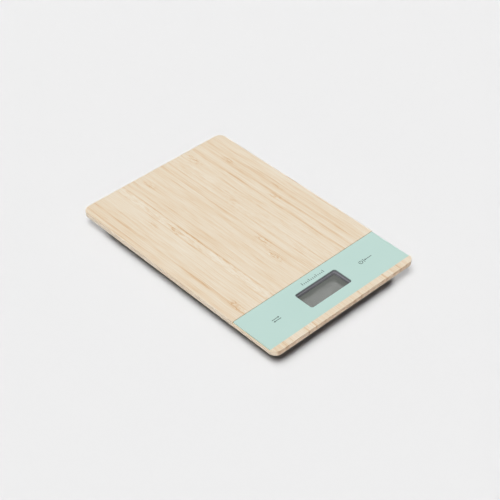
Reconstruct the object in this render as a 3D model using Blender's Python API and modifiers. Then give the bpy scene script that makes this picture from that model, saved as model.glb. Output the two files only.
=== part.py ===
"""Slim kitchen scale: a bamboo platform over a plastic base that stands on four load-cell feet.

Metres, +Z up. The origin is on the table under the middle of the platform, and the display
edge faces -Y. Sizes are written in millimetres and turned into metres by MM.
"""

import math

import bmesh
import bpy
from mathutils import Matrix, Vector

MM = 0.001
GAP = 0.3  # clearance between pieces that touch

# Platform
BOARD_WIDTH = 162.0
BOARD_LENGTH = 240.0
BOARD_BOTTOM = 10.4
BOARD_TOP = 15.0
BOARD_CORNER = 7.0
BOARD_EDGE_BREAK = 0.5

# Control panel, in a channel that runs from side to side
PANEL_FRONT = -114.2
PANEL_DEPTH = 43.0
PANEL_TOP = 14.5
PANEL_THICKNESS = 1.0
PANEL_MIDDLE = PANEL_FRONT + PANEL_DEPTH / 2
CHANNEL_FLOOR = PANEL_TOP - PANEL_THICKNESS - GAP
WINDOW_WIDTH = 46.8
WINDOW_DEPTH = 20.3
WINDOW_CORNER = 2.3

# Display stack under the window
FRAME_WIDTH = 51.4
FRAME_DEPTH = 25.4
FRAME_TOP = CHANNEL_FLOOR - 0.2
GLASS_WIDTH = 48.6
GLASS_DEPTH = 22.6
FRAME_LEDGE = 11.4  # the viewing opening steps in below this height
LEDGE_WIDTH = 0.45
GLASS_BOTTOM = 7.2
GLASS_TOP = 8.8
PCB_BOTTOM = 4.6
PCB_TOP = 5.6
PCB_WIDTH = 61.0
PCB_FRONT = -107.2
PCB_BACK = -67.0

# Touch keys
KEY_X = {"unit": -54.0, "tare": 51.0}
KEY_WIDTH = 16.0
KEY_DEPTH = 14.0
KEY_THICKNESS = 0.7
KEY_TOP = CHANNEL_FLOOR - 0.1

# Base housing
BASE_WIDTH = 140.0
BASE_LENGTH = 220.0
BASE_BOTTOM = 2.3
BASE_TOP = BOARD_BOTTOM - GAP
BASE_WALL = 1.6
BASE_FLOOR_TOP = BASE_BOTTOM + 1.5
BASE_CORNER = 12.0
BASE_EDGE_ROUND = 1.2
RIB_TOP = 6.6
BURIED = 3.0  # height inside the floor where added ribs and bosses start
BOSS_RADIUS = 3.8
SCREW_HOLE_RADIUS = 1.5
RECESS_RADIUS = 2.9
RECESS_TOP = 4.8
PCB_BOSS_RADIUS = 2.4
PCB_HOLE_RADIUS = 1.3

# Feet
FOOT_X = 50.0
FOOT_Y = 90.0
WELL_RADIUS = 17.0
WELL_WALL = 1.4
WELL_CEILING = 7.4
WELL_TOP = 8.8
RELIEF_RADIUS = 9.0
RELIEF_TOP = 8.0
CELL_SIZE = 23.0
CELL_BOTTOM = 5.5
CELL_TOP = WELL_CEILING - GAP
FOOT_RADIUS = 12.7
FOOT_RIM = 1.0
PAD_RADIUS = 11.0
PAD_TOP = 1.8
CORNERS = {
    "front_left": (-1, -1),
    "front_right": (1, -1),
    "back_left": (-1, 1),
    "back_right": (1, 1),
}

# Battery bay
BAY_Y = -40.0
CELL_RADIUS = 10.0
COIN_BOTTOM = 4.2
COIN_HEIGHT = 3.2
BAY_CEILING = 8.4
BAY_TOP = 9.6
BAY_HALF_WIDTH = 12.0
BAY_FRONT = -55.6
BAY_BACK = -21.4
DOOR_FRONT = -55.0
DOOR_HINGE = -25.0

# Screws
BASE_SCREWS = [
    (x * side, y) for x, y in ((62, -58), (62, 58), (18, 100), (18, 10)) for side in (-1, 1)
]
PCB_SCREWS = [(x, y) for x in (-28.3, 28.3) for y in (-104.0, -70.0)]
LEAD_RADIUS = 0.8


def collection(name):
    made = bpy.data.collections.new(name)
    bpy.context.scene.collection.children.link(made)
    return made


def clear_scene():
    for old in list(bpy.data.objects):
        bpy.data.objects.remove(old, do_unlink=True)


clear_scene()
PARTS = collection("kitchen_scale")
CUTTERS = collection("cutters")


def material(name, colour, roughness, metallic=0.0, alpha=1.0):
    made = bpy.data.materials.new(name)
    made.use_nodes = True
    shader = made.node_tree.nodes["Principled BSDF"]
    shader.inputs["Base Color"].default_value = (*colour, 1.0)
    shader.inputs["Roughness"].default_value = roughness
    shader.inputs["Metallic"].default_value = metallic
    shader.inputs["Alpha"].default_value = alpha
    return made


BAMBOO = material("bamboo", (0.76, 0.60, 0.42), 0.5)
MINT = material("mint_overlay", (0.54, 0.72, 0.66), 0.35)
CLEAR = material("clear_window", (0.75, 0.80, 0.80), 0.05, alpha=0.3)
DARK_PLASTIC = material("dark_plastic", (0.05, 0.05, 0.055), 0.5)
LCD = material("lcd_glass", (0.26, 0.29, 0.27), 0.15)
ELASTOMER = material("elastomer", (0.55, 0.50, 0.52), 0.7)
CIRCUIT = material("circuit_board", (0.02, 0.16, 0.06), 0.4)
EPOXY = material("epoxy", (0.015, 0.015, 0.015), 0.35)
CERAMIC = material("ceramic_parts", (0.35, 0.27, 0.18), 0.5)
COPPER = material("copper_foil", (0.72, 0.36, 0.20), 0.35, 1.0)
BASE_PLASTIC = material("base_plastic", (0.035, 0.036, 0.038), 0.5)
STEEL = material("cell_steel", (0.55, 0.55, 0.55), 0.35, 1.0)
NICKEL = material("nickel", (0.70, 0.69, 0.66), 0.25, 1.0)
SCREW_STEEL = material("screw_steel", (0.42, 0.42, 0.43), 0.35, 1.0)
GAUGE = material("gauge_resin", (0.85, 0.82, 0.72), 0.5)
RUBBER = material("foot_rubber", (0.60, 0.60, 0.58), 0.8)
RED_WIRE = material("red_wire", (0.55, 0.03, 0.02), 0.45)
BLACK_WIRE = material("black_wire", (0.02, 0.02, 0.02), 0.45)
GREY_WIRE = material("grey_wire", (0.30, 0.30, 0.31), 0.45)


def finish(name, mesh, look, where=PARTS):
    """Put a mesh in the scene as an object; cutters stay out of the render."""
    made = bpy.data.objects.new(name, mesh)
    where.objects.link(made)
    if look:
        mesh.materials.append(look)
    if where == CUTTERS:
        made.hide_render = True
        made.display_type = "WIRE"
    return made


def mesh_of(name, bm):
    mesh = bpy.data.meshes.new(name)
    bm.to_mesh(mesh)
    bm.free()
    return mesh


def smooth(mesh, angle=35.0):
    mesh.shade_smooth()
    mesh.set_sharp_from_angle(angle=math.radians(angle))


def block(
    name, look, x, y, z, corner=0.0, top_break=0.0, low_break=0.0, steps=6, where=PARTS
):
    """A box from its (low, high) pairs in millimetres, with rounded upright edges."""
    lows, highs = zip(x, y, z)
    middle = [(low + high) / 2 * MM for low, high in zip(lows, highs)]
    size = [(high - low) * MM for low, high in zip(lows, highs)]
    bm = bmesh.new()
    bmesh.ops.create_cube(bm, size=1.0)
    bmesh.ops.scale(bm, vec=size, verts=bm.verts)
    bmesh.ops.translate(bm, vec=middle, verts=bm.verts)
    if corner:
        upright = [e for e in bm.edges if abs(e.verts[0].co.z - e.verts[1].co.z) > MM / 100]
        bmesh.ops.bevel(
            bm, geom=upright, offset=corner * MM, segments=steps, profile=0.5, affect="EDGES"
        )
    for height, width in ((highs[2], top_break), (lows[2], low_break)):
        if width:
            rim = [e for e in bm.edges if all(abs(v.co.z / MM - height) < 0.01 for v in e.verts)]
            bmesh.ops.bevel(
                bm, geom=rim, offset=width * MM, segments=3, profile=0.5, affect="EDGES"
            )
    return finish(name, mesh_of(name, bm), look, where)


def round_bar(name, look, radius, x, y, z, steps=24, where=PARTS):
    """An upright cylinder at (x, y) between the two heights in z."""
    bm = bmesh.new()
    bmesh.ops.create_cone(
        bm,
        cap_ends=True,
        segments=steps,
        radius1=radius * MM,
        radius2=radius * MM,
        depth=(z[1] - z[0]) * MM,
        matrix=Matrix.Translation((x * MM, y * MM, (z[0] + z[1]) / 2 * MM)),
    )
    mesh = mesh_of(name, bm)
    smooth(mesh)
    return finish(name, mesh, look, where)


def turned(name, look, profile, x, y, steps=32, where=PARTS):
    """A Screw modifier turns the profile of (radius, height), which runs down its outer side."""
    bm = bmesh.new()
    points = [bm.verts.new((radius * MM, 0.0, height * MM)) for radius, height in profile]
    for upper, lower in zip(points, points[1:]):
        bm.edges.new((upper, lower))
    made = finish(name, mesh_of(name, bm), look, where)
    made.location = (x * MM, y * MM, 0.0)
    screw = made.modifiers.new("turn", "SCREW")
    screw.axis = "Z"
    screw.steps = steps
    screw.render_steps = steps
    screw.use_merge_vertices = True
    screw.merge_threshold = 0.00001
    screw.use_smooth_shade = True
    return made


def boolean(target, operation, pieces):
    for piece in pieces:
        step = target.modifiers.new(piece.name, "BOOLEAN")
        step.operation = operation
        step.solver = "EXACT"
        step.object = piece
    return target


def cut(target, *cutters):
    return boolean(target, "DIFFERENCE", cutters)


def join(target, *pieces):
    return boolean(target, "UNION", pieces)


def cut_block(name, x, y, z, corner=0.0):
    return block(name, None, x, y, z, corner, where=CUTTERS)


def cut_bar(name, radius, x, y, z, steps=24):
    return round_bar(name, None, radius, x, y, z, steps, where=CUTTERS)


def span(middle, width):
    return (middle - width / 2, middle + width / 2)


def strip(name, look, route, width_axis, width, thickness):
    """A bent metal strip: an edge path drawn out into a ribbon and thickened."""
    bm = bmesh.new()
    points = [bm.verts.new(Vector(point) * MM) for point in route]
    edges = [bm.edges.new(pair) for pair in zip(points, points[1:])]
    drawn = bmesh.ops.extrude_edge_only(bm, edges=edges)["geom"]
    far_side = [v for v in drawn if isinstance(v, bmesh.types.BMVert)]
    bmesh.ops.translate(bm, vec=Vector(width_axis) * width * MM, verts=far_side)
    bmesh.ops.recalc_face_normals(bm, faces=bm.faces)
    made = finish(name, mesh_of(name, bm), look)
    solid = made.modifiers.new("thickness", "SOLIDIFY")
    solid.thickness = thickness * MM
    solid.offset = 0.0
    return made


def smooth_route(points, spacing):
    """Points about every spacing millimetres on a Catmull-Rom curve through the route."""
    route = [Vector(point) for point in points]
    padded = [2 * route[0] - route[1], *route, 2 * route[-1] - route[-2]]
    out = []
    for before, start, end, after in zip(padded, padded[1:], padded[2:], padded[3:]):
        count = max(2, round((end - start).length / spacing))
        for step in range(count):
            t = step / count
            out.append(
                0.5
                * (
                    2 * start
                    + (end - before) * t
                    + (2 * before - 5 * start + 4 * end - after) * t**2
                    + (3 * start - before - 3 * end + after) * t**3
                )
            )
    return [*out, route[-1]]


def lead(name, look, radius, route):
    """An insulated wire: a curve with a round section and closed ends."""
    curve = bpy.data.curves.new(name, "CURVE")
    curve.dimensions = "3D"
    curve.bevel_depth = radius * MM
    curve.bevel_resolution = 2
    curve.use_fill_caps = True
    points = smooth_route(route, 4.0)
    spline = curve.splines.new("POLY")
    spline.points.add(len(points) - 1)
    for place, point in zip(spline.points, points):
        place.co = (*(point * MM), 1.0)
    curve.materials.append(look)
    made = bpy.data.objects.new(name, curve)
    PARTS.objects.link(made)
    return made


def make_board():
    half_width = BOARD_WIDTH / 2
    half_length = BOARD_LENGTH / 2
    board = block(
        "bamboo_board",
        BAMBOO,
        (-half_width, half_width),
        (-half_length, half_length),
        (BOARD_BOTTOM, BOARD_TOP),
        BOARD_CORNER,
        top_break=BOARD_EDGE_BREAK,
        low_break=BOARD_EDGE_BREAK / 2,
        steps=8,
    )
    cut(
        board,
        cut_block(
            "panel_channel",
            (-half_width - 5, half_width + 5),
            (PANEL_FRONT, PANEL_FRONT + PANEL_DEPTH),
            (CHANNEL_FLOOR, BOARD_TOP + 2),
        ),
        cut_block(
            "display_opening",
            span(0, FRAME_WIDTH + 2 * GAP),
            span(PANEL_MIDDLE, FRAME_DEPTH + 2 * GAP),
            (BOARD_BOTTOM - 2, CHANNEL_FLOOR + 1),
            1.5,
        ),
    )
    for key, x in KEY_X.items():
        inner = x - math.copysign(5.0, x)
        cut(
            board,
            cut_block(
                f"{key}_pocket",
                span(x, KEY_WIDTH + 2 * GAP),
                span(PANEL_MIDDLE, KEY_DEPTH + 2 * GAP),
                (KEY_TOP - KEY_THICKNESS - GAP, CHANNEL_FLOOR + 1),
            ),
            cut_bar(
                f"{key}_wire_hole",
                1.5,
                inner,
                PANEL_MIDDLE,
                (BOARD_BOTTOM - 2, CHANNEL_FLOOR - 0.5),
                12,
            ),
        )
    pilot_hole = (BOARD_BOTTOM - 2, BOARD_TOP - 1.4)
    for number, (x, y) in enumerate(BASE_SCREWS):
        cut(board, cut_bar(f"pilot_hole_{number}", 1.5, x, y, pilot_hole, 12))


def make_panel():
    bottom = PANEL_TOP - PANEL_THICKNESS
    panel = block(
        "control_panel",
        MINT,
        span(0, BOARD_WIDTH),
        (PANEL_FRONT + 0.2, PANEL_FRONT + PANEL_DEPTH - GAP),
        (bottom, PANEL_TOP),
    )
    cut(
        panel,
        cut_block(
            "window_opening",
            span(0, WINDOW_WIDTH),
            span(PANEL_MIDDLE, WINDOW_DEPTH),
            (bottom - 1, PANEL_TOP + 1),
            WINDOW_CORNER,
        ),
    )
    block(
        "display_window",
        CLEAR,
        span(0, WINDOW_WIDTH - 2 * GAP),
        span(PANEL_MIDDLE, WINDOW_DEPTH - 2 * GAP),
        (bottom, PANEL_TOP - 0.1),
        WINDOW_CORNER - GAP,
    )


def make_display():
    bottom = PCB_TOP + GAP
    frame = block(
        "lcd_frame",
        DARK_PLASTIC,
        span(0, FRAME_WIDTH),
        span(PANEL_MIDDLE, FRAME_DEPTH),
        (bottom, FRAME_TOP),
        1.2,
        steps=3,
    )
    cut(
        frame,
        cut_block(
            "viewing_opening_top",
            span(0, WINDOW_WIDTH + 0.2),
            span(PANEL_MIDDLE, WINDOW_DEPTH + 0.2),
            (FRAME_LEDGE, FRAME_TOP + 1),
            WINDOW_CORNER,
        ),
        cut_block(
            "viewing_opening",
            span(0, WINDOW_WIDTH - 2 * LEDGE_WIDTH),
            span(PANEL_MIDDLE, WINDOW_DEPTH - 2 * LEDGE_WIDTH),
            (bottom - 1, FRAME_TOP + 1),
            WINDOW_CORNER - LEDGE_WIDTH,
        ),
        cut_block(
            "glass_seat",
            span(0, GLASS_WIDTH + 2 * GAP),
            span(PANEL_MIDDLE, GLASS_DEPTH + 2 * GAP),
            (bottom - 1, GLASS_TOP + GAP),
        ),
    )
    block(
        "lcd_glass",
        LCD,
        span(0, GLASS_WIDTH),
        span(PANEL_MIDDLE, GLASS_DEPTH),
        (GLASS_BOTTOM, GLASS_TOP),
    )
    for side, offset in (("front", 1.2 - GLASS_DEPTH / 2), ("back", GLASS_DEPTH / 2 - 1.2)):
        block(
            f"lcd_connector_{side}",
            ELASTOMER,
            (-22.0, 22.0),
            span(PANEL_MIDDLE + offset, 1.8),
            (PCB_TOP + GAP, GLASS_BOTTOM - GAP),
        )


def make_electronics():
    board = block(
        "main_pcb",
        CIRCUIT,
        span(0, PCB_WIDTH),
        (PCB_FRONT, PCB_BACK),
        (PCB_BOTTOM, PCB_TOP),
        1.0,
        steps=2,
    )
    for number, (x, y) in enumerate(PCB_SCREWS):
        hole = (PCB_BOTTOM - 1, PCB_TOP + 1)
        cut(board, cut_bar(f"pcb_hole_{number}", 1.3, x, y, hole, 12))
    base = PCB_TOP + 0.1
    turned(
        "controller_chip",
        EPOXY,
        [(0, base + 1.2), (1.6, base + 1.1), (3.0, base + 0.7), (3.8, base), (0, base)],
        -8.0,
        -74.0,
        steps=20,
    )
    for side, x in (("left", -18.0), ("right", 9.0)):
        place = (span(x, 3.2), span(-74.0, 1.6), (base, base + 1.4))
        block(f"pcb_capacitor_{side}", CERAMIC, *place)
    head = PCB_TOP + GAP
    profile = [(0, head + 1), (1.4, head + 1), (1.7, head), (1.0, head), (1.0, 3.4), (0, 3.1)]
    for number, (x, y) in enumerate(PCB_SCREWS, start=1):
        turned(f"pcb_screw_{number}", SCREW_STEEL, profile, x, y, steps=16)


def make_keys():
    for key, x in KEY_X.items():
        side = math.copysign(1.0, x)
        bottom = KEY_TOP - KEY_THICKNESS
        block(
            f"touch_electrode_{key}",
            COPPER,
            span(x, KEY_WIDTH),
            span(PANEL_MIDDLE, KEY_DEPTH),
            (bottom, KEY_TOP),
            1.0,
            steps=2,
        )
        hole = abs(x) - 5.0
        route = [
            (hole, bottom - GAP),
            (hole, bottom - 1.2),
            (hole - 1.0, 9.5),
            (hole - 4.0, 9.4),
            (33.5, 9.4),
            (30.6, 9.3),
            (29.2, 8.2),
            (29.0, PCB_TOP + GAP),
        ]
        lead(
            f"touch_lead_{key}",
            GREY_WIRE,
            0.4,
            [(side * across, PANEL_MIDDLE, height) for across, height in route],
        )


def make_base():
    base = block(
        "base_housing",
        BASE_PLASTIC,
        span(0, BASE_WIDTH),
        span(0, BASE_LENGTH),
        (BASE_BOTTOM, BASE_TOP),
        BASE_CORNER,
        low_break=BASE_EDGE_ROUND,
        steps=8,
    )
    cut(
        base,
        cut_block(
            "base_inside",
            span(0, BASE_WIDTH - 2 * BASE_WALL),
            span(0, BASE_LENGTH - 2 * BASE_WALL),
            (BASE_FLOOR_TOP, BASE_TOP + 2),
            BASE_CORNER - BASE_WALL,
        ),
    )
    inner = BASE_WIDTH / 2 - BASE_WALL / 2
    far = BASE_LENGTH / 2 - BASE_WALL / 2
    for y in (32.0, 62.0):
        join(base, cut_block(f"cross_rib_{y:.0f}", (-inner, inner), span(y, 1.2), (BURIED, RIB_TOP)))
    for x in (-30.0, 30.0):
        side = "left" if x < 0 else "right"
        join(base, cut_block(f"long_rib_{side}", span(x, 1.2), (-30.0, far), (BURIED, RIB_TOP)))
    add_wells(base)
    add_bay(base)
    add_bosses(base)


def add_wells(base):
    """Four round wells, open below, whose ceilings carry the load cells."""
    for corner, (right, back) in CORNERS.items():
        x = right * FOOT_X
        y = back * FOOT_Y
        outer = WELL_RADIUS + WELL_WALL
        join(base, cut_bar(f"{corner}_well", outer, x, y, (BURIED, WELL_TOP), 40))
        notch = y - back * (WELL_RADIUS + WELL_WALL / 2)
        cut(
            base,
            cut_bar(f"{corner}_cavity", WELL_RADIUS, x, y, (0, WELL_CEILING), 40),
            cut_bar(f"{corner}_relief", RELIEF_RADIUS, x, y, (WELL_CEILING - 1, RELIEF_TOP), 24),
            cut_block(f"{corner}_notch", span(x, 3.0), span(notch, 5.0), (5.0, 7.2)),
        )


def add_bay(base):
    """The battery bay: a box over the door's opening, with a ring that holds the coin cell."""
    wall = 1.4
    join(
        base,
        cut_block(
            "bay_outside",
            (-BAY_HALF_WIDTH - wall, BAY_HALF_WIDTH + wall),
            (BAY_FRONT - wall, BAY_BACK + wall),
            (BURIED, BAY_TOP),
        ),
    )
    cut(
        base,
        cut_block(
            "bay_inside",
            (-BAY_HALF_WIDTH, BAY_HALF_WIDTH),
            (BAY_FRONT, BAY_BACK),
            (BASE_FLOOR_TOP, BAY_CEILING),
        ),
        cut_block(
            "door_opening",
            (-BAY_HALF_WIDTH, BAY_HALF_WIDTH),
            (DOOR_FRONT, DOOR_HINGE),
            (0, BASE_FLOOR_TOP + 1),
        ),
    )
    ring_bottom = BASE_FLOOR_TOP + 0.5
    join(base, cut_bar("coin_ring", CELL_RADIUS + 1.5, 0, BAY_Y, (ring_bottom, BAY_CEILING + 0.5), 40))
    cut(
        base,
        cut_bar("coin_seat", CELL_RADIUS + GAP, 0, BAY_Y, (1, BAY_CEILING), 40),
        cut_block("positive_gap", (5, 11.9), span(BAY_Y, 12), (1, BAY_CEILING)),
        cut_block("negative_slot", span(0, 6.0), (-59, -48), (7.2, BAY_CEILING)),
        cut_block("positive_slot", (10.4, 11.9), (-59, -54), (4.6, 7.9)),
    )


def add_bosses(base):
    for number, (x, y) in enumerate(BASE_SCREWS):
        join(base, cut_bar(f"boss_{number}", BOSS_RADIUS, x, y, (BURIED, BASE_TOP), 20))
        cut(
            base,
            cut_bar(f"screw_hole_{number}", SCREW_HOLE_RADIUS, x, y, (0, BASE_TOP + 1), 12),
            cut_bar(f"head_recess_{number}", RECESS_RADIUS, x, y, (0, RECESS_TOP), 20),
        )
    for number, (x, y) in enumerate(PCB_SCREWS):
        boss = (BURIED, PCB_BOTTOM - GAP)
        join(base, cut_bar(f"pcb_boss_{number}", PCB_BOSS_RADIUS, x, y, boss, 16))
        cut(base, cut_bar(f"pcb_screw_hole_{number}", PCB_HOLE_RADIUS, x, y, (2.9, 8), 12))


def make_base_screws():
    head_top = RECESS_TOP - GAP
    tip = BOARD_TOP - 1.8
    profile = [
        (0, tip),
        (1.2, tip - 0.8),
        (1.2, head_top),
        (2.5, head_top),
        (2.1, head_top - 1.2),
        (0, head_top - 1.3),
    ]
    for number, (x, y) in enumerate(BASE_SCREWS, start=1):
        turned(f"base_screw_{number}", SCREW_STEEL, profile, x, y, steps=16)


def make_battery():
    door = block(
        "battery_door",
        BASE_PLASTIC,
        (-BAY_HALF_WIDTH + GAP, BAY_HALF_WIDTH - GAP),
        (DOOR_FRONT + GAP, DOOR_HINGE - GAP),
        (BASE_BOTTOM, BASE_FLOOR_TOP),
    )
    for x in (-7.0, 7.0):
        side = "left" if x < 0 else "right"
        foot = (BASE_FLOOR_TOP - 0.5, BASE_FLOOR_TOP + 1.1)
        tongue = (BASE_FLOOR_TOP + GAP, BASE_FLOOR_TOP + 1.1)
        join(
            door,
            cut_block(f"tongue_foot_{side}", span(x, 4), (DOOR_HINGE - 2.2, DOOR_HINGE - GAP), foot),
            cut_block(f"tongue_{side}", span(x, 4), (DOOR_HINGE - 1.2, DOOR_HINGE + 2), tongue),
        )
    notch = (BASE_BOTTOM - 1, BASE_BOTTOM + 0.8)
    latch = (DOOR_FRONT + GAP + 0.4, DOOR_FRONT + 1.6)
    join(door, cut_block("latch_tab", span(0, 7), latch, (BURIED, BASE_FLOOR_TOP + 0.9)))
    cut(
        door,
        cut_bar("finger_notch", 4.0, 0, DOOR_FRONT + 6.5, notch, 20),
        cut_block("latch_slit_left", (-5.0, -4.2), (DOOR_FRONT - 1, DOOR_FRONT + 6), (0, 8)),
        cut_block("latch_slit_right", (4.2, 5.0), (DOOR_FRONT - 1, DOOR_FRONT + 6), (0, 8)),
    )
    move_origin(door, (0.0, DOOR_HINGE, BASE_BOTTOM))
    top = COIN_BOTTOM + COIN_HEIGHT
    turned(
        "coin_cell",
        NICKEL,
        [
            (0, top),
            (8.6, top),
            (8.9, top - 0.5),
            (9.7, top - 0.6),
            (CELL_RADIUS, top - 0.9),
            (CELL_RADIUS, COIN_BOTTOM + 0.3),
            (CELL_RADIUS - 0.3, COIN_BOTTOM),
            (0, COIN_BOTTOM),
        ],
        0,
        BAY_Y,
        steps=40,
    )
    strip(
        "battery_contact_negative",
        NICKEL,
        [(-2.4, -59.0, 8.1), (-2.4, -48.0, 8.1), (-2.4, -41.0, 7.85), (-2.4, -37.0, 8.1)],
        (1, 0, 0),
        4.8,
        0.25,
    )
    strip(
        "battery_contact_positive",
        NICKEL,
        [(11.15, -59.0, 5.0), (11.15, -45.5, 5.0), (10.5, -40.0, 5.0), (11.15, -34.6, 5.0)],
        (0, 0, 1),
        2.2,
        0.25,
    )


def move_origin(thing, place):
    """Put an object's origin on its joint's axis without moving its shape."""
    shift = Vector(place) * MM
    thing.data.transform(Matrix.Translation(-shift))
    thing.location = shift


def make_battery_leads():
    lead(
        "battery_lead_negative",
        BLACK_WIRE,
        0.6,
        [(0, -59.8, 8.1), (0.6, -62, 8.2), (2.5, -65.5, 8.0), (3, -68.5, PCB_TOP + 0.9)],
    )
    lead(
        "battery_lead_positive",
        RED_WIRE,
        0.6,
        [(11.15, -59.8, 6.1), (11.0, -62, 6.8), (9.6, -65.5, 7.8), (9, -68.5, PCB_TOP + 0.9)],
    )


def make_load_cell(corner, x, y, back):
    """An E-shaped steel plate: its frame bears on the well, its tongue on the foot."""
    height = (CELL_BOTTOM, CELL_TOP)
    tall = (CELL_BOTTOM - 1, CELL_TOP + 1)
    cell = block(
        f"load_cell_{corner}", STEEL, span(x, CELL_SIZE), span(y, CELL_SIZE), height, 2.5, steps=3
    )
    root = y - back * 7.0
    tip = y + back * 8.0
    sides = (min(root, tip), max(root, tip))
    end = (min(tip - back * 1.6, tip), max(tip - back * 1.6, tip))
    cut(
        cell,
        cut_block(f"{corner}_slot_left", span(x - 5.6, 1.6), sides, tall),
        cut_block(f"{corner}_slot_right", span(x + 5.6, 1.6), sides, tall),
        cut_block(f"{corner}_slot_end", span(x, 12.0), end, tall),
    )
    block(
        f"strain_gauge_{corner}",
        GAUGE,
        span(x, 5.0),
        span(y - back * 5.0, 5.0),
        (CELL_TOP + 0.15, CELL_TOP + 0.6),
        0.6,
        steps=2,
    )


def make_foot(corner, x, y):
    top = CELL_BOTTOM - GAP
    flange = (3.8, 4.6)
    foot = turned(
        f"foot_{corner}",
        BASE_PLASTIC,
        [
            (0, top),
            (4.0, top),
            (4.0, flange[1]),
            (14.4, flange[1]),
            (14.4, flange[0]),
            (FOOT_RADIUS, flange[0]),
            (FOOT_RADIUS, FOOT_RIM + 0.4),
            (FOOT_RADIUS - 0.4, FOOT_RIM),
            (PAD_RADIUS + GAP, FOOT_RIM),
            (PAD_RADIUS + GAP, PAD_TOP + GAP),
            (0, PAD_TOP + GAP),
        ],
        x,
        y,
        steps=36,
    )
    turned(
        f"foot_pad_{corner}",
        RUBBER,
        [(0, PAD_TOP), (PAD_RADIUS, PAD_TOP), (PAD_RADIUS, 0.4), (PAD_RADIUS - 0.4, 0), (0, 0)],
        x,
        y,
        steps=36,
    )
    turned(
        f"foot_retainer_{corner}",
        BASE_PLASTIC,
        [
            (FOOT_RADIUS + 0.4, 3.5),
            (WELL_RADIUS - GAP, 3.5),
            (WELL_RADIUS - GAP, BASE_BOTTOM),
            (FOOT_RADIUS + 0.4, BASE_BOTTOM),
            (FOOT_RADIUS + 0.4, 3.5),
        ],
        x,
        y,
        steps=36,
    )


def make_cell_lead(corner, right, back):
    """The three-core lead from a load cell, over the ribs and on to the circuit board."""
    y = back * FOOT_Y
    inner = y - back * (CELL_SIZE / 2 + GAP + LEAD_RADIUS)
    end = PCB_TOP + GAP + LEAD_RADIUS
    if back < 0:
        route = [
            (FOOT_X, inner, 6.1),
            (FOOT_X, -69.5, 6.1),
            (45.0, -63.5, 7.0),
            (34.0, -61.5, 7.8),
            (24.5, -63.5, 7.8),
            (22.5, -68.8, end),
        ]
    else:
        route = [
            (FOOT_X, inner, 6.1),
            (FOOT_X, 71.5, 6.2),
            (49.5, 63.0, 8.0),
            (46.0, 45.0, 8.2),
            (41.0, 15.0, 8.2),
            (38.0, -20.0, 8.0),
            (32.0, -47.0, 8.0),
            (23.0, -57.5, 8.2),
            (18.0, -62.5, 8.2),
            (17.0, -68.8, end),
        ]
    lead(
        f"load_cell_lead_{corner}",
        GREY_WIRE,
        LEAD_RADIUS,
        [(right * across, along, height) for across, along, height in route],
    )


def make_feet():
    for corner, (right, back) in CORNERS.items():
        x = right * FOOT_X
        y = back * FOOT_Y
        make_load_cell(corner, x, y, back)
        make_foot(corner, x, y)
        make_cell_lead(corner, right, back)


make_board()
make_panel()
make_display()
make_electronics()
make_keys()
make_base()
make_base_screws()
make_battery()
make_battery_leads()
make_feet()
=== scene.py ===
"""The looks of the slim bamboo kitchen scale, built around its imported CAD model.

Lengths are in metres, as in the frame, and MM turns millimetres into metres. The tables
that describe the wood and the print are in millimetres.
"""

import math

import bmesh
import bpy
from mathutils import Matrix, Vector


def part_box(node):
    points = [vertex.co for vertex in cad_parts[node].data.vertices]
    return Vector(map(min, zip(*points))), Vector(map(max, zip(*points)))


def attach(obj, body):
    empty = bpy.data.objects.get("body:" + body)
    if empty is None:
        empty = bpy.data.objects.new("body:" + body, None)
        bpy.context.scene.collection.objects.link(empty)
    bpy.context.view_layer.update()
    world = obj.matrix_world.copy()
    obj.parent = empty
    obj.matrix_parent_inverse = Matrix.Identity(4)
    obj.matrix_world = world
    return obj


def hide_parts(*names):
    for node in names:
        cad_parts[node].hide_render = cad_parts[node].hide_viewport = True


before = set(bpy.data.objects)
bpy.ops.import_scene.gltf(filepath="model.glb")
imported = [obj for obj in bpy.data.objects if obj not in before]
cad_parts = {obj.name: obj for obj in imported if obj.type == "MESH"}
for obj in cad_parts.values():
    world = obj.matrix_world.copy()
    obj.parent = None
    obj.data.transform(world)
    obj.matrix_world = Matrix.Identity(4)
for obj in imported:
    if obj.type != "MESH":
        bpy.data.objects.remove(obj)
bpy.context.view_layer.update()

MM = 0.001
BODY = "scale_body"
SHARP_ANGLE = 35.0  # edges of CAD nodes that are steeper than this stay sharp
BEVEL_ANGLE = 50.0
CORNER_NAMES = ["front_left", "front_right", "back_left", "back_right"]

# ---------------------------------------------------------------- sizes

BOARD_LOW, BOARD_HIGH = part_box("bamboo_board")
PANEL_LOW, PANEL_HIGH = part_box("control_panel")
FRAME_LOW, FRAME_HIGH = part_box("lcd_frame")
PANEL_MIDDLE = (PANEL_LOW.y + PANEL_HIGH.y) / 2

BOARD_CORNER = 7.0 * MM
BOARD_EDGE = 0.45 * MM
CUT_MARGIN = 2.0 * MM  # how far a cutter reaches past what it cuts
CHANNEL_FRONT_GAP = 0.06 * MM
CHANNEL_BACK_GAP = 0.15 * MM
CHANNEL_BELOW_PANEL = 0.3 * MM
OPENING_GAP = 0.3 * MM
OPENING_CORNER = 1.5 * MM

OVERLAY_LEFT_INSET = 0.9 * MM
OVERLAY_RIGHT_INSET = 0.5 * MM
OVERLAY_BACK_REACH = 0.05 * MM
OVERLAY_EDGE = 0.12 * MM
WINDOW_SIZE = (46.8 * MM, 20.3 * MM)
WINDOW_CORNER = 2.3 * MM
LENS_GAP = 0.05 * MM
LENS_EDGE = 0.08 * MM
LENS_ABOVE_PANEL_BACK = 0.1 * MM
LENS_BELOW_PANEL_FACE = 0.02 * MM

INK_BOTTOM = PANEL_HIGH.z + 0.005 * MM
INK_THICKNESS = 0.02 * MM
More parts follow.
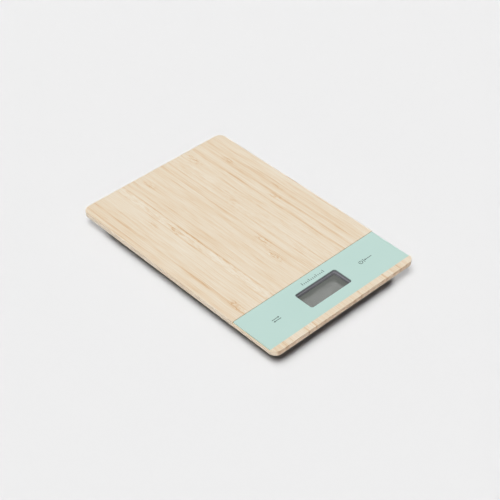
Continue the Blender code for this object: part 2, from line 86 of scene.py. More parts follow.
# Printed signs, in mm: their centres first
TICK_ROW = (2.4, -77.8)
UNIT_KEY = (-53.1, -92.7)
POWER_KEY = (45.0, -92.0)
TARE_KEY = (53.2, -92.0)
PRINT_STROKE = 0.5
ARROW_HEAD = (1.5, 1.7)  # length and width
RING_GAP = 38.0  # degrees from the top to each end of the ring
RING_STEPS = 28
TICKS = 13
TICKS_TO_LONG = 4
TICK_STEP = 2.0
SHORT_TICK, LONG_TICK = 1.7, 3.0

# ---------------------------------------------------------------- camera and light

# A long lens at the front left, aimed near the middle of the board's top. The azimuth is
# taken from the front, and the last two values move the camera in its own plane.
CAMERA_AZIMUTH = -43.46
CAMERA_ELEVATION = 41.265
CAMERA_ROLL = 0.178
CAMERA_DISTANCE = 1.13961
CAMERA_LENS = 96.684
CAMERA_SIDE = 0.00406
CAMERA_RISE = -0.01410

FLOOR_HALF_SIZE = 8.0
FLOOR_TONE = 0.531
SKY_STRENGTH = 0.125
SKY_COLOUR = (1.0, 0.98, 1.05)
# Softboxes, as wide suns: name, strength, degrees across, degrees from straight above, and
# the side each leans to, in degrees from +X towards +Y
SOFTBOXES = [
    ("overhead_softbox", 2.67, 35.0, 14.9, 198.5),
    ("display_card", 1.92, 34.0, 66.0, 36.5),
    ("low_fill", 0.48, 40.0, 74.0, -125.0),
    ("floor_card", 3.55, 26.0, 54.0, 55.5),
    ("under_softbox", 3.6, 100.0, 160.0, -60.0),
]

# ---------------------------------------------------------------- the wood

PLY_JOINT = 12.6  # height of the glue line between the board's two plies
GLUE_LINE = 0.16  # half its height, soft edge included
# Strips of the board from left to right: width, tone (0 light to 1 dark), flame pattern
STRIPS = [
    (13.0, 0.43, 0.0),
    (9.4, 0.39, 0.1),
    (15.0, 0.30, 0.1),
    (7.8, 0.25, 1.0),
    (16.3, 0.40, 0.0),
    (17.5, 0.40, 0.1),
    (4.0, 0.48, 0.0),
    (6.2, 0.36, 0.1),
    (8.1, 0.37, 0.1),
    (14.7, 0.34, 0.35),
    (15.3, 0.38, 0.25),
    (9.2, 0.33, 0.1),
    (8.0, 0.40, 0.1),
    (7.0, 0.42, 0.0),
    (10.5, 0.34, 0.1),
]
BOARD_WIDTH = sum(width for width, _, _ in STRIPS)
# Brown resin lines at some strip joints: x, width, depth of tone
JOINTS = [
    (-76.3, 3.6, 0.35),
    (-68.0, 4.6, 0.50),
    (-43.6, 2.6, 0.60),
    (-35.6, 3.0, 0.78),
    (-25.2, 3.0, 0.20),
    (8.3, 4.4, 0.36),
    (16.4, 2.8, 0.50),
    (24.4, 2.4, 0.28),
    (46.6, 4.0, 0.50),
    (55.7, 4.6, 0.50),
    (63.6, 3.6, 0.50),
    (70.6, 3.0, 0.28),
]
# Culm nodes: x, y, half width, half length, depth of tone
CULM_NODES = [
    (-16.2, 105.0, 3.0, 12.0, 0.45),
    (35.8, 106.0, 3.2, 14.0, 0.90),
    (58.5, 84.0, 3.2, 12.0, 0.70),
    (-49.5, 64.0, 3.0, 11.0, 0.45),
    (-41.0, 41.0, 2.6, 11.0, 0.66),
    (21.3, 40.5, 3.6, 11.0, 0.35),
    (64.4, 27.0, 3.2, 11.0, 0.45),
    (53.2, 18.5, 3.0, 12.0, 0.70),
    (4.6, -17.5, 3.6, 12.0, 0.65),
    (-1.8, -37.5, 3.2, 13.0, 0.95),
    (-66.0, -61.0, 3.6, 13.0, 0.90),
]
CULM_NODE_SPREAD = 1.35
SWAY = 2.0  # how far the fibres wander, and how far they curl at a culm node
CURL = 5.0
# Fibres, as noise drawn out along them: cycles per mm across and along, detail, roughness
BROAD = (0.17, 0.0045, 1.0, 0.5)
STREAK = (0.75, 0.016, 3.0, 0.6)
FINE = (1.7, 0.026, 2.0, 0.5)
HAIR = (4.2, 0.05, 1.0, 0.5)
VESSEL = (1.15, 0.011, 1.0, 0.5)
# Shorter figures, in the same way, with a distortion in place of the roughness
FLAMES = (0.45, 0.075, 3.0, 1.8)
PORES = (0.75, 0.19, 5.0, 0.8)
MOTTLE = (0.22, 0.035, 3.0, 0.0)
# Where the strips and the plies lie in the noise, so that each has fibres of its own
SEED_STEP = 0.37
STRIP_SHIFT = 90.0
PLY_SHIFT = 37.0
# How much each of them, and each other part of the grain, darkens the wood
BROAD_WEIGHT = 0.17
STREAK_WEIGHT = 0.62
STREAK_WEIGHT_AT_NODES = 1.6
FINE_WEIGHT = 0.74
HAIR_WEIGHT = 0.72
VESSEL_WEIGHT = 0.26
MOTTLE_WEIGHT = 0.42
JOINT_WEIGHT = 0.54
FLAME_WEIGHT = 1.5
NODE_WEIGHT = 0.22
PORE_WEIGHT_AT_NODES = 2.3
# The same for the end grain
END_TONE = 0.36
END_DOT_WEIGHT = 0.30
END_BLOCK_WEIGHT = 0.7
END_JOINT_WEIGHT = 1.1


def srgb(*levels):
    """Linear colour from 0 to 255 display levels."""
    return tuple(
        v / 12.92 if v <= 0.04045 else ((v + 0.055) / 1.055) ** 2.4
        for v in (level / 255 for level in levels)
    )


BAMBOO_COLOURS = [
    (0.0, srgb(244, 234, 215)),
    (0.35, srgb(238, 223, 199)),
    (0.6, srgb(233, 211, 180)),
    (1.0, srgb(212, 169, 121)),
]
END_COLOURS = [
    (0.0, srgb(246, 228, 204)),
    (0.5, srgb(234, 210, 182)),
    (1.0, srgb(206, 172, 138)),
]
# Paler tone laid on the edge faces below the ply joint
PALER_LOWER_EDGE_COLOUR = srgb(232, 220, 204)
GLUE_COLOUR = srgb(190, 160, 128)
# Painted shade: the darker tone multiplied onto the board's underside
UNDERSIDE_PAINTED_SHADE_COLOUR = srgb(122, 110, 96)
MINT_DARK = srgb(193, 222, 213)
MINT_LIGHT = srgb(199, 226, 218)
DISPLAY_DARK = srgb(102, 105, 99)
DISPLAY_LIGHT = srgb(106, 109, 103)
LENS_COLOUR = (0.55, 0.56, 0.58)
SOLDER_MASK_COLOUR = srgb(20, 84, 48)
TRACK_COLOUR = srgb(38, 112, 66)


# ---------------------------------------------------------------- node helpers


class Shader:
    """A material's node tree, with short ways to add nodes and join them."""

    def __init__(self, name):
        self.material = bpy.data.materials.new(name)
        self.material.use_nodes = True
        self.tree = self.material.node_tree
        self.surface = self.tree.nodes["Principled BSDF"]
        self.place = None

    def set(self, **values):
        for name, value in values.items():
            self.plug(self.surface.inputs[name.replace("_", " ")], value)

    def plug(self, socket, value):
        if isinstance(value, bpy.types.NodeSocket):
            self.tree.links.new(value, socket)
        elif isinstance(value, (tuple, list)) and socket.type == "RGBA":
            socket.default_value = (*value[:3], 1.0)
        else:
            socket.default_value = value

    def node(self, kind, *inputs, **settings):
        made = self.tree.nodes.new(kind)
        for name, value in settings.items():
            setattr(made, name, value)
        for socket, value in zip(made.inputs, inputs):
            if value is not None:
                self.plug(socket, value)
        return made

    def maths(self, operation, *values):
        return self.node("ShaderNodeMath", *values, operation=operation).outputs[0]

    def add(self, a, b):
        return self.maths("ADD", a, b)

    def times(self, a, b):
        return self.maths("MULTIPLY", a, b)

    def total(self, *values):
        result = values[0]
        for value in values[1:]:
            result = self.add(result, value)
        return result

    def millimetres(self):
        """(x, y, z) of the point on the object, in millimetres."""
        if self.place is None:
            where = self.node("ShaderNodeTexCoord").outputs["Object"]
            scaled = self.node("ShaderNodeVectorMath", operation="SCALE")
            self.plug(scaled.inputs[0], where)
            scaled.inputs["Scale"].default_value = 1 / MM
            split = self.node("ShaderNodeSeparateXYZ", scaled.outputs[0])
            self.place = tuple(split.outputs)
        return self.place

    def vector(self, x, y, z):
        return self.node("ShaderNodeCombineXYZ", x, y, z).outputs[0]

    def stretched(self, point, across, along, depth):
        """The point of a texture with this many cycles per mm in X and in Y."""
        x, y = point
        return self.vector(self.times(x, across), self.times(y, along), depth)

    def noise(self, vector, scale=1.0, detail=2.0, roughness=0.5, distortion=0.0):
        """Noise about zero: -0.5 to 0.5."""
        node = self.node("ShaderNodeTexNoise", noise_dimensions="3D")
        self.plug(node.inputs["Vector"], vector)
        node.inputs["Scale"].default_value = scale
        node.inputs["Detail"].default_value = detail
        node.inputs["Roughness"].default_value = roughness
        node.inputs["Distortion"].default_value = distortion
        return self.add(node.outputs["Fac"], -0.5)

    def ramp(self, factor, stops, interpolation="LINEAR"):
        node = self.node("ShaderNodeValToRGB", factor)
        ramp = node.color_ramp
        ramp.interpolation = interpolation
        while len(ramp.elements) < len(stops):
            ramp.elements.new(1.0)
        for element, (position, colour) in zip(ramp.elements, stops):
            element.position = position
            element.color = (*colour, 1.0)
        return node.outputs["Color"]

    def between(self, value, low, high):
        """0 at low and 1 at high, with a smooth step from one to the other."""
        node = self.node(
            "ShaderNodeMapRange", value, low, high, interpolation_type="SMOOTHSTEP"
        )
        return node.outputs[0]

    def mix(self, factor, a, b, blend="MIX"):
        node = self.node("ShaderNodeMix", data_type="RGBA", blend_type=blend)
        self.plug(node.inputs["Factor"], factor)
        self.plug(node.inputs[6], a)
        self.plug(node.inputs[7], b)
        return node.outputs[2]

    def bump(self, height, distance, strength=1.0):
        """Tilts the surface by a height of -0.5 to 0.5, where 1 is distance in metres."""
        node = self.node("ShaderNodeBump")
        node.inputs["Strength"].default_value = strength
        node.inputs["Distance"].default_value = distance
        self.plug(node.inputs["Height"], height)
        self.plug(self.surface.inputs["Normal"], node.outputs["Normal"])


def dimmed(colour, factor):
    return tuple(channel * factor for channel in colour)


# ---------------------------------------------------------------- bamboo


def strip_stops():
    """Colour ramp stops that hold each strip's tone, grain seed and flame."""
    stops = []
    edge = 0.0
    for number, (width, tone, flame) in enumerate(STRIPS):
        seed = (number * SEED_STEP) % 1.0
        stops.append((edge / BOARD_WIDTH, (tone, seed, flame)))
        edge += width
    return stops


def joint_stops(joints):
    """Colour ramp stops that rise to each resin line and fall away after it."""
    stops = []
    for x, width, depth in joints:
        middle = x / BOARD_WIDTH + 0.5
        half = width / 2 / BOARD_WIDTH
        stops.append((middle - half, (0.0,) * 3))
        stops.append((middle, (depth,) * 3))
        stops.append((middle + half, (0.0,) * 3))
    return stops


def culm_node(shader, x, y, spot):
    """A soft oval mask round a culm node."""
    across, along, half_width, half_length, depth = spot
    dx = shader.times(shader.add(x, -across), 1 / (CULM_NODE_SPREAD * half_width))
    dy = shader.times(shader.add(y, -along), 1 / half_length)
    radius = shader.add(shader.times(dx, dx), shader.times(dy, dy))
    mask = shader.maths("SUBTRACT", 1.0, shader.between(radius, 0.0, 1.0))
    return shader.times(mask, depth)


def resin_lines(shader, place):
    """The brown joints; a colour ramp holds 32 stops at most, so they are in two."""
    half = len(JOINTS) // 2
    return shader.add(
        shader.ramp(place, joint_stops(JOINTS[:half]), "EASE"),
        shader.ramp(place, joint_stops(JOINTS[half:]), "EASE"),
    )


def bamboo_material():
    shader = Shader("laminated_bamboo")
    add, times = shader.add, shader.times
    x, y, z = shader.millimetres()

    # Fibres wander a little and are pushed aside at each culm node.
    sway = shader.noise(shader.stretched((x, y), 0.03, 0.014, z), detail=1)
    nodes = shader.total(*[culm_node(shader, x, y, spot) for spot in CULM_NODES])
    curl = shader.noise(shader.stretched((x, y), 0.30, 0.16, z), detail=2)
    bent = shader.total(x, times(sway, SWAY), times(times(curl, nodes), CURL))

    place = add(times(x, 1 / BOARD_WIDTH), 0.5)
    strips = shader.ramp(place, strip_stops(), "CONSTANT")
    tone, seed, flame = shader.node("ShaderNodeSeparateColor", strips).outputs
    joints = resin_lines(shader, place)
    # The lower ply has its own fibres, and so has each strip.
    upper = shader.between(z, PLY_JOINT - 0.05, PLY_JOINT + 0.05)
    offset = add(times(seed, STRIP_SHIFT), times(upper, PLY_SHIFT))

    def fibres(across, along, detail, roughness):
        depth = add(times(z, across), offset)
        point = shader.stretched((bent, y), across, along, depth)
        return shader.noise(point, detail=detail, roughness=roughness)

    def figure(across, along, detail, distortion):
        point = shader.stretched((bent, y), across, along, offset)
        return shader.noise(point, detail=detail, distortion=distortion)

    streak = fibres(*STREAK)
    fine = fibres(*FINE)
    hair = fibres(*HAIR)
    vessel = shader.between(fibres(*VESSEL), 0.13, 0.27)
    flames = figure(*FLAMES)
    pores = figure(*PORES)
    mottle = figure(*MOTTLE)
    patches = shader.noise(shader.stretched((x, y), 0.1, 0.018, 5.0), detail=2)
    patchy = add(times(patches, 2.4), 1.0)
    value = shader.total(
        tone,
        times(fibres(*BROAD), BROAD_WEIGHT),
        times(mottle, MOTTLE_WEIGHT),
        times(streak, add(times(nodes, STREAK_WEIGHT_AT_NODES), STREAK_WEIGHT)),
        times(fine, FINE_WEIGHT),
        times(hair, HAIR_WEIGHT),
        times(vessel, VESSEL_WEIGHT),
        times(times(joints, patchy), JOINT_WEIGHT),
        times(times(flames, flame), FLAME_WEIGHT),
        times(nodes, add(times(pores, PORE_WEIGHT_AT_NODES), NODE_WEIGHT)),
    )
    colour = shader.ramp(value, BAMBOO_COLOURS)

    # End grain on the two short edges: darker, with dots of cut fibre bundles.
    normal = shader.node("ShaderNodeNewGeometry").outputs["Normal"]
    facing = shader.node("ShaderNodeSeparateXYZ", normal).outputs
    end = shader.between(shader.maths("ABSOLUTE", facing[1]), 0.80, 0.97)
    side = shader.between(shader.maths("ABSOLUTE", facing[0]), 0.55, 0.8)
    cells = shader.node("ShaderNodeTexVoronoi", feature="F1")
    bundles = shader.stretched((x, y), 1.5, 0.02, times(z, 1.5))
    shader.plug(cells.inputs["Vector"], bundles)
    cells.inputs["Scale"].default_value = 1.0
    dots = shader.between(cells.outputs["Distance"], 0.45, 0.12)
    blocks = shader.noise(shader.vector(times(x, 0.16), 3.0, times(upper, 9.0)), detail=1)
    ends = shader.total(
        END_TONE,
        times(dots, END_DOT_WEIGHT),
        times(blocks, END_BLOCK_WEIGHT),
        times(joints, END_JOINT_WEIGHT),
        tone,
    )
    colour = shader.mix(end, colour, shader.ramp(ends, END_COLOURS))

    # The edges are paler below the ply joint, under a thin glue line.
    away = shader.maths("ABSOLUTE", add(z, -PLY_JOINT))
    line = shader.between(away, GLUE_LINE, 0.05)
    lower = shader.maths("SUBTRACT", 1.0, upper)
    edges = shader.maths("MAXIMUM", end, side)
    colour = shader.mix(times(times(lower, edges), 0.25), colour, PALER_LOWER_EDGE_COLOUR)
    colour = shader.mix(times(times(line, edges), 0.10), colour, GLUE_COLOUR)
    # The underside is darkened as painted shade, so that it throws less light into the
    # shadow on the floor under the board.
    below = shader.between(facing[2], -0.6, -0.9)
    colour = shader.mix(times(below, 0.85), colour, UNDERSIDE_PAINTED_SHADE_COLOUR, "MULTIPLY")

    shader.set(
        Base_Color=colour,
        Roughness=add(times(fine, 0.12), 0.46),
        Specular_IOR_Level=0.4,
    )
    shader.bump(add(fine, times(hair, 0.7)), 0.02 * MM, 0.6)
    return shader.material


# ---------------------------------------------------------------- other materials


def moulded(name, colour, roughness, grain=0.25, depth=0.012, mottle=0.03):
    """Moulded plastic or rubber: a fine spark texture and a little unevenness of tone.

    The grain's size and depth are in millimetres.
    """
    shader = Shader(name)
    point = shader.vector(*shader.millimetres())
    cloud = shader.noise(point, scale=0.05, detail=3)
    texture = shader.noise(point, scale=1 / grain, detail=2)
    dark = dimmed(colour, 1 - mottle)
    light = dimmed(colour, 1 + mottle)
    shader.set(
        Base_Color=shader.mix(shader.add(cloud, 0.5), dark, light),
        Roughness=shader.add(shader.times(texture, 0.12), roughness),
    )
    shader.bump(texture, depth * MM)
    return shader.material


def metal(name, colour, roughness, along_y=1.0):
    """Metal with fine marks, which a small along_y draws out along Y."""
    shader = Shader(name)
    x, y, z = shader.millimetres()
    marks = shader.noise(shader.vector(x, shader.times(y, along_y), z), scale=4.0, detail=3)
    shader.set(
        Base_Color=shader.mix(shader.add(marks, 0.5), dimmed(colour, 0.9), colour),
        Roughness=shader.add(shader.times(marks, 0.2), roughness),
        Metallic=1.0,
    )
    shader.bump(marks, 0.004 * MM)
    return shader.material


def mint_material():
    """Printed satin overlay: even colour under a fine matt grain."""
    shader = Shader("mint_overlay")
    point = shader.vector(*shader.millimetres())
    cloud = shader.noise(point, scale=0.02, detail=2)
    grain = shader.noise(point, scale=5.0, detail=2)
    shader.set(
        Base_Color=shader.mix(shader.add(cloud, 0.5), MINT_DARK, MINT_LIGHT),
        Roughness=shader.add(shader.times(grain, 0.10), 0.42),
        Specular_IOR_Level=0.35,
    )
    shader.bump(grain, 0.004 * MM)
    return shader.material


def clear_material():
    """Clear polished plastic, with hardly any tint of its own."""
    shader = Shader("clear_lens")
    point = shader.vector(*shader.millimetres())
    haze = shader.noise(point, scale=0.4, detail=2)
    shader.set(
        Base_Color=LENS_COLOUR,
        Roughness=shader.add(shader.times(haze, 0.02), 0.05),
        Alpha=0.03,
    )
    return shader.material


def display_material():
    """A display that is switched off: a dark grey-green cell under polished glass."""
    shader = Shader("display_cell")
    point = shader.vector(*shader.millimetres())
    cloud = shader.noise(point, scale=0.12, detail=2)
    shader.set(
        Base_Color=shader.mix(shader.add(cloud, 0.5), DISPLAY_DARK, DISPLAY_LIGHT),
        Roughness=shader.add(shader.times(cloud, 0.03), 0.24),
        IOR=1.5,
    )
    return shader.material


def circuit_material():
    """Green solder mask with faint copper tracks under it."""
    shader = Shader("solder_mask")
    x, y, _ = shader.millimetres()
    tracks = shader.node(
        "ShaderNodeTexVoronoi", feature="DISTANCE_TO_EDGE", distance="MANHATTAN"
    )
    shader.plug(tracks.inputs["Vector"], shader.vector(x, y, 0.0))
    tracks.inputs["Scale"].default_value = 0.35
    edge = shader.between(tracks.outputs["Distance"], 0.10, 0.06)
    shader.set(
        Base_Color=shader.mix(edge, SOLDER_MASK_COLOUR, TRACK_COLOUR),
        Roughness=0.35,
        Coat_Weight=0.3,
    )
    shader.bump(edge, 0.02 * MM)
    return shader.material


def floor_material():
    """Pale studio floor; it can't be seen from below, so the underside stays in view."""
    shader = Shader("studio_floor")
    shader.set(Base_Color=(FLOOR_TONE,) * 3, Roughness=0.9, Specular_IOR_Level=0.1)
    behind = shader.node("ShaderNodeNewGeometry").outputs["Backfacing"]
    clear = shader.node("ShaderNodeBsdfTransparent").outputs[0]
    both = shader.node("ShaderNodeMixShader", behind, shader.surface.outputs[0], clear)
    output = shader.tree.nodes["Material Output"]
    shader.tree.links.new(both.outputs[0], output.inputs["Surface"])
    return shader.material


# ---------------------------------------------------------------- shapes


def placed(name, mesh, material, replaces=()):
    """A finished piece on the scale's body."""
    made = bpy.data.objects.new(name, mesh)
    bpy.context.scene.collection.objects.link(made)
    mesh.materials.clear()
    mesh.materials.append(material)
    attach(made, BODY)
    if replaces:
        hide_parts(*replaces)


def rounded_block(name, low, high, corner, steps=12):
    """A block with round upright corners, as a loose object."""
    bm = bmesh.new()
    bmesh.ops.create_cube(bm, size=1.0)
    size = [b - a for a, b in zip(low, high)]
    middle = [(a + b) / 2 for a, b in zip(low, high)]
    bmesh.ops.scale(bm, vec=size, verts=bm.verts)
    bmesh.ops.translate(bm, vec=middle, verts=bm.verts)
    if corner:
        upright = [e for e in bm.edges if abs(e.verts[0].co.z - e.verts[1].co.z) > 1e-5]
        bmesh.ops.bevel(
            bm, geom=upright, offset=corner, segments=steps, profile=0.5, affect="EDGES"
        )
    mesh = bpy.data.meshes.new(name)
    bm.to_mesh(mesh)
    bm.free()
    made = bpy.data.objects.new(name, mesh)
    bpy.context.scene.collection.objects.link(made)
    return made


def carved(block, cutters, edge, segments=3):
    """The block less its cutters, with softened edges, as a mesh.

    The block and its cutters are removed.
    """
    for cutter in cutters:
        step = block.modifiers.new(cutter.name, "BOOLEAN")
        step.operation = "DIFFERENCE"
        step.solver = "EXACT"
        step.object = cutter
    bevel = block.modifiers.new("edge", "BEVEL")
    bevel.width = edge
    bevel.segments = segments
    bevel.limit_method = "ANGLE"
    bevel.angle_limit = math.radians(BEVEL_ANGLE)
    bevel.harden_normals = True
    bevel.miter_outer = "MITER_ARC"
    block.data.shade_smooth()
    graph = bpy.context.evaluated_depsgraph_get()
    mesh = bpy.data.meshes.new_from_object(block.evaluated_get(graph))
    for helper in (block, *cutters):
        bpy.data.objects.remove(helper, do_unlink=True)
    return mesh


def window_block(name, grow, low_z, high_z):
    """A block with the window's outline, larger all round by grow."""
    half_x = WINDOW_SIZE[0] / 2 + grow
    half_y = WINDOW_SIZE[1] / 2 + grow
    return rounded_block(
        name,
        (-half_x, PANEL_MIDDLE - half_y, low_z),
        (half_x, PANEL_MIDDLE + half_y, high_z),
        WINDOW_CORNER + grow,
    )


def make_platform(bamboo):
    """The board with its panel channel and display opening."""
    block = rounded_block("board", BOARD_LOW, BOARD_HIGH, BOARD_CORNER, steps=20)
    channel = rounded_block(
        "channel",
        (
            BOARD_LOW.x - CUT_MARGIN,
            PANEL_LOW.y - CHANNEL_FRONT_GAP,
            PANEL_LOW.z - CHANNEL_BELOW_PANEL,
        ),
        (
            BOARD_HIGH.x + CUT_MARGIN,
            PANEL_HIGH.y + CHANNEL_BACK_GAP,
            BOARD_HIGH.z + CUT_MARGIN,
        ),
        0.0,
    )
    opening = rounded_block(
        "opening",
        (FRAME_LOW.x - OPENING_GAP, FRAME_LOW.y - OPENING_GAP, BOARD_LOW.z - CUT_MARGIN),
        (FRAME_HIGH.x + OPENING_GAP, FRAME_HIGH.y + OPENING_GAP, PANEL_LOW.z + CUT_MARGIN),
        OPENING_CORNER,
    )
    mesh = carved(block, [channel, opening], BOARD_EDGE)
    placed("bamboo_platform", mesh, bamboo, ("bamboo_board",))


def make_overlay(mint):
    low = (BOARD_LOW.x + OVERLAY_LEFT_INSET, PANEL_LOW.y, PANEL_LOW.z)
    high = (
        BOARD_HIGH.x - OVERLAY_RIGHT_INSET,
        PANEL_HIGH.y + OVERLAY_BACK_REACH,
        PANEL_HIGH.z,
    )
    block = rounded_block("overlay", low, high, 0.0)
    hole = window_block("window_hole", 0.0, PANEL_LOW.z - MM, PANEL_HIGH.z + MM)
    mesh = carved(block, [hole], OVERLAY_EDGE)
    placed("mint_control_overlay", mesh, mint, ("control_panel",))


def make_lens(clear):
    low_z = PANEL_LOW.z + LENS_ABOVE_PANEL_BACK
    high_z = PANEL_HIGH.z - LENS_BELOW_PANEL_FACE
    block = window_block("lens", -LENS_GAP, low_z, high_z)
    mesh = carved(block, [], LENS_EDGE, 2)
    placed("clear_display_window", mesh, clear, ("display_window",))


def printed(name, outlines, centre, ink):
    """A film of ink: a thin prism on each outline round a centre, in millimetres."""
    corners = []
    faces = []
    for outline in outlines:
        count = len(outline)
        low = [len(corners) + number for number in range(count)]
        high = [number + count for number in low]
        for z in (INK_BOTTOM, INK_BOTTOM + INK_THICKNESS):
            corners += [((centre[0] + x) * MM, (centre[1] + y) * MM, z) for x, y in outline]
        faces += [low[::-1], high]
        for here in range(count):
            there = (here + 1) % count
            faces.append([low[here], low[there], high[there], high[here]])
    mesh = bpy.data.meshes.new(name)
    mesh.from_pydata(corners, [], faces)
    placed(name, mesh, ink)


def bar(middle, low, high):
    """An upright bar; its outline is anticlockwise, as all of them are."""
    half = PRINT_STROKE / 2
    left, right = middle - half, middle + half
    return [(left, low), (right, low), (right, high), (left, high)]


def arrow(tail, tip, height):
    """An arrow along X."""
    way = math.copysign(1.0, tip - tail)
    neck = tip - way * ARROW_HEAD[0]
    shaft, head = way * PRINT_STROKE / 2, way * ARROW_HEAD[1] / 2
    first = [(tail, -shaft), (neck, -shaft), (neck, -head)]
    last = [(x, -y) for x, y in reversed(first)]
    return [(x, height + y) for x, y in (*first, (tip, 0.0), *last)]


def open_ring(radius):
    """A ring with a gap at the top."""
    gap = math.radians(RING_GAP)
    rays = []
    for step in range(RING_STEPS + 1):
        angle = math.pi / 2 + gap + (2 * math.pi - 2 * gap) * step / RING_STEPS
        rays.append((math.cos(angle), math.sin(angle)))
    inner = radius - PRINT_STROKE
    outside = [(radius * x, radius * y) for x, y in rays]
    inside = [(inner * x, inner * y) for x, y in reversed(rays)]
    return outside + inside


def make_print(ink):
    """Generic signs without any lettering: a row of ticks, and a sign for each key."""
    ticks = []
    for number in range(TICKS):
        high = LONG_TICK if number % TICKS_TO_LONG == 0 else SHORT_TICK
        middle = (number - (TICKS - 1) / 2) * TICK_STEP
        ticks.append(bar(middle, -LONG_TICK / 2, high - LONG_TICK / 2))
    printed("tick_print", ticks, TICK_ROW, ink)
    # Change of unit, on and off, and back to zero
    swap = [arrow(-4.0, 4.0, 1.1), arrow(4.0, -4.0, -1.1)]
    printed("unit_key_print", swap, UNIT_KEY, ink)
    on_off = [open_ring(2.0), bar(0.0, 0.1, 2.0)]
    printed("power_key_print", on_off, POWER_KEY, ink)
    to_zero = [bar(-4.7, -1.85, 1.85), arrow(4.6, -3.9, 0.0)]
    printed("tare_key_print", to_zero, TARE_KEY, ink)


# ---------------------------------------------------------------- carried-over CAD nodes


def names_starting(*starts):
    return [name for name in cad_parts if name.startswith(starts)]


def nodes_named(*names):
    return [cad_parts[name] for name in names]


def dress(material, *names):
    """Gives CAD nodes a material and smooth shading between their sharp edges."""
    for node in nodes_named(*names):
        node.data.materials.clear()
        node.data.materials.append(material)
        weld = node.modifiers.new("weld", "WELD")
        weld.merge_threshold = 1e-6
        node.data.shade_smooth()
        split = node.modifiers.new("sharp", "EDGE_SPLIT")
        split.split_angle = math.radians(SHARP_ANGLE)


def dress_frame():
    base = moulded("base_abs", srgb(46, 47, 49), 0.5, grain=0.35, depth=0.02, mottle=0.08)
    caps = moulded("foot_abs", srgb(52, 53, 55), 0.48, grain=0.3, mottle=0.08)
    pads = moulded(
        "foot_rubber", srgb(128, 129, 128), 0.82, grain=0.5, depth=0.05, mottle=0.06
    )
    bezel = moulded("bezel_plastic", srgb(146, 145, 151), 0.6, grain=0.2)
    elastomer = moulded("elastomer", srgb(150, 140, 146), 0.75)
    potting = moulded("potting", srgb(18, 18, 19), 0.3, grain=1.0, depth=0.03)
    ceramic = moulded("ceramic", srgb(150, 122, 92), 0.45)
    gauge = moulded("gauge_resin", srgb(232, 224, 200), 0.35)
    copper = metal("copper_foil", srgb(214, 140, 96), 0.3)
    cell_steel = metal("cell_steel", srgb(176, 176, 178), 0.34, along_y=0.1)
    nickel = metal("nickel", srgb(206, 203, 197), 0.22)
    zinc = metal("zinc_screw", srgb(168, 170, 176), 0.3)

    dress(base, "base_housing", "battery_door", *names_starting("foot_retainer_"))
    dress(caps, *[f"foot_{side}" for side in CORNER_NAMES])
    dress(pads, *names_starting("foot_pad_"))
    dress(bezel, "lcd_frame")
    dress(display_material(), "lcd_glass")
    dress(elastomer, *names_starting("lcd_connector_"))
    dress(circuit_material(), "main_pcb")
    dress(potting, "controller_chip")
    dress(ceramic, *names_starting("pcb_capacitor_"))
    dress(copper, *names_starting("touch_electrode_"))
    dress(cell_steel, *[f"load_cell_{side}" for side in CORNER_NAMES])
    dress(gauge, *names_starting("strain_gauge_"))
    dress(nickel, "coin_cell", *names_starting("battery_contact_"))
    dress(zinc, *names_starting("base_screw_", "pcb_screw_"))
    dress(moulded("grey_wire", srgb(120, 120, 124), 0.4), *names_starting("touch_lead_"))
    dress(moulded("cell_wire", srgb(96, 98, 104), 0.4), *names_starting("load_cell_lead_"))
    dress(moulded("red_wire", srgb(176, 30, 26), 0.4), "battery_lead_positive")
    dress(moulded("black_wire", srgb(24, 24, 26), 0.4), "battery_lead_negative")


# ---------------------------------------------------------------- studio


def make_floor():
    bm = bmesh.new()
    bmesh.ops.create_grid(bm, x_segments=1, y_segments=1, size=FLOOR_HALF_SIZE)
    mesh = bpy.data.meshes.new("floor")
    bm.to_mesh(mesh)
    bm.free()
    floor = bpy.data.objects.new("floor", mesh)
    bpy.context.scene.collection.objects.link(floor)
    mesh.materials.append(floor_material())


def make_softbox(name, strength, spread, tilt, side):
    lamp = bpy.data.lights.new(name, "SUN")
    lamp.energy = strength
    lamp.angle = math.radians(spread)
    softbox = bpy.data.objects.new(name, lamp)
    lean = math.sin(math.radians(tilt))
    around = math.radians(side)
    height = math.cos(math.radians(tilt))
    towards = Vector((lean * math.cos(around), lean * math.sin(around), height))
    softbox.location = towards
    softbox.rotation_mode = "QUATERNION"
    softbox.rotation_quaternion = (-towards).to_track_quat("-Z", "Y")
    bpy.context.scene.collection.objects.link(softbox)


def group_of(name, pieces):
    group = bpy.data.collections.new(name)
    for piece in pieces:
        group.objects.link(piece)
    return group


def light_only(lamp, lit, shading=None):
    """Lets a lamp light these pieces and nothing else, and only some pieces shade it."""
    linking = bpy.data.objects[lamp].light_linking
    linking.receiver_collection = group_of(lamp + "_lights", lit)
    if shading:
        linking.blocker_collection = group_of(lamp + "_shade", shading)


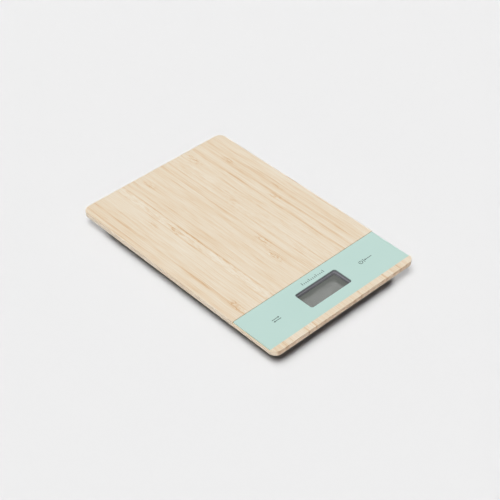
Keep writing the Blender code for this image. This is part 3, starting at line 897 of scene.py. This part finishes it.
def make_lights():
    world = bpy.data.worlds.new("studio")
    world.use_nodes = True
    sky = world.node_tree.nodes["Background"]
    sky.inputs["Color"].default_value = (*SKY_COLOUR, 1.0)
    sky.inputs["Strength"].default_value = SKY_STRENGTH
    bpy.context.scene.world = world
    for softbox in SOFTBOXES:
        make_softbox(*softbox)
    floor = bpy.data.objects["floor"]
    pieces = [made for made in bpy.context.scene.objects if made.type == "MESH"]
    underside = nodes_named(
        "base_housing",
        "battery_door",
        "coin_cell",
        *names_starting("foot_", "base_screw_", "battery_contact_"),
    )
    # The low fill lights the scale's sides, and not the shadow under it.
    light_only("low_fill", [made for made in pieces if made != floor])
    # The first card behind the scale shows only in the glass of the display.
    light_only("display_card", nodes_named("lcd_glass"))
    # The second shines in under the platform, where only the base shades the floor.
    light_only("floor_card", [floor], underside)
    # The lamp below lights the dark underside, and the floor doesn't shade it.
    light_only("under_softbox", underside, underside)


def make_camera():
    a = math.radians(CAMERA_AZIMUTH)
    e = math.radians(CAMERA_ELEVATION)
    back = Vector((math.sin(a) * math.cos(e), -math.cos(a) * math.cos(e), math.sin(e)))
    level = Vector((math.cos(a), math.sin(a), 0.0))
    right = Matrix.Rotation(math.radians(CAMERA_ROLL), 3, back) @ level
    up = back.cross(right)
    lens = bpy.data.cameras.new("camera")
    lens.lens = CAMERA_LENS
    lens.sensor_width = 36.0
    lens.clip_start = 0.05
    camera = bpy.data.objects.new("camera", lens)
    aim = Vector((0.0, 0.0, BOARD_HIGH.z))
    place = aim + back * CAMERA_DISTANCE + right * CAMERA_SIDE + up * CAMERA_RISE
    turn = Matrix((right, up, back)).transposed()
    camera.matrix_world = Matrix.Translation(place) @ turn.to_4x4()
    bpy.context.scene.collection.objects.link(camera)
    bpy.context.scene.camera = camera


bpy.context.scene.view_settings.view_transform = "Standard"
make_camera()
make_floor()
make_platform(bamboo_material())
make_overlay(mint_material())
make_lens(clear_material())
make_print(moulded("key_ink", srgb(30, 44, 42), 0.5, grain=0.2, depth=0.002))
dress_frame()
make_lights()
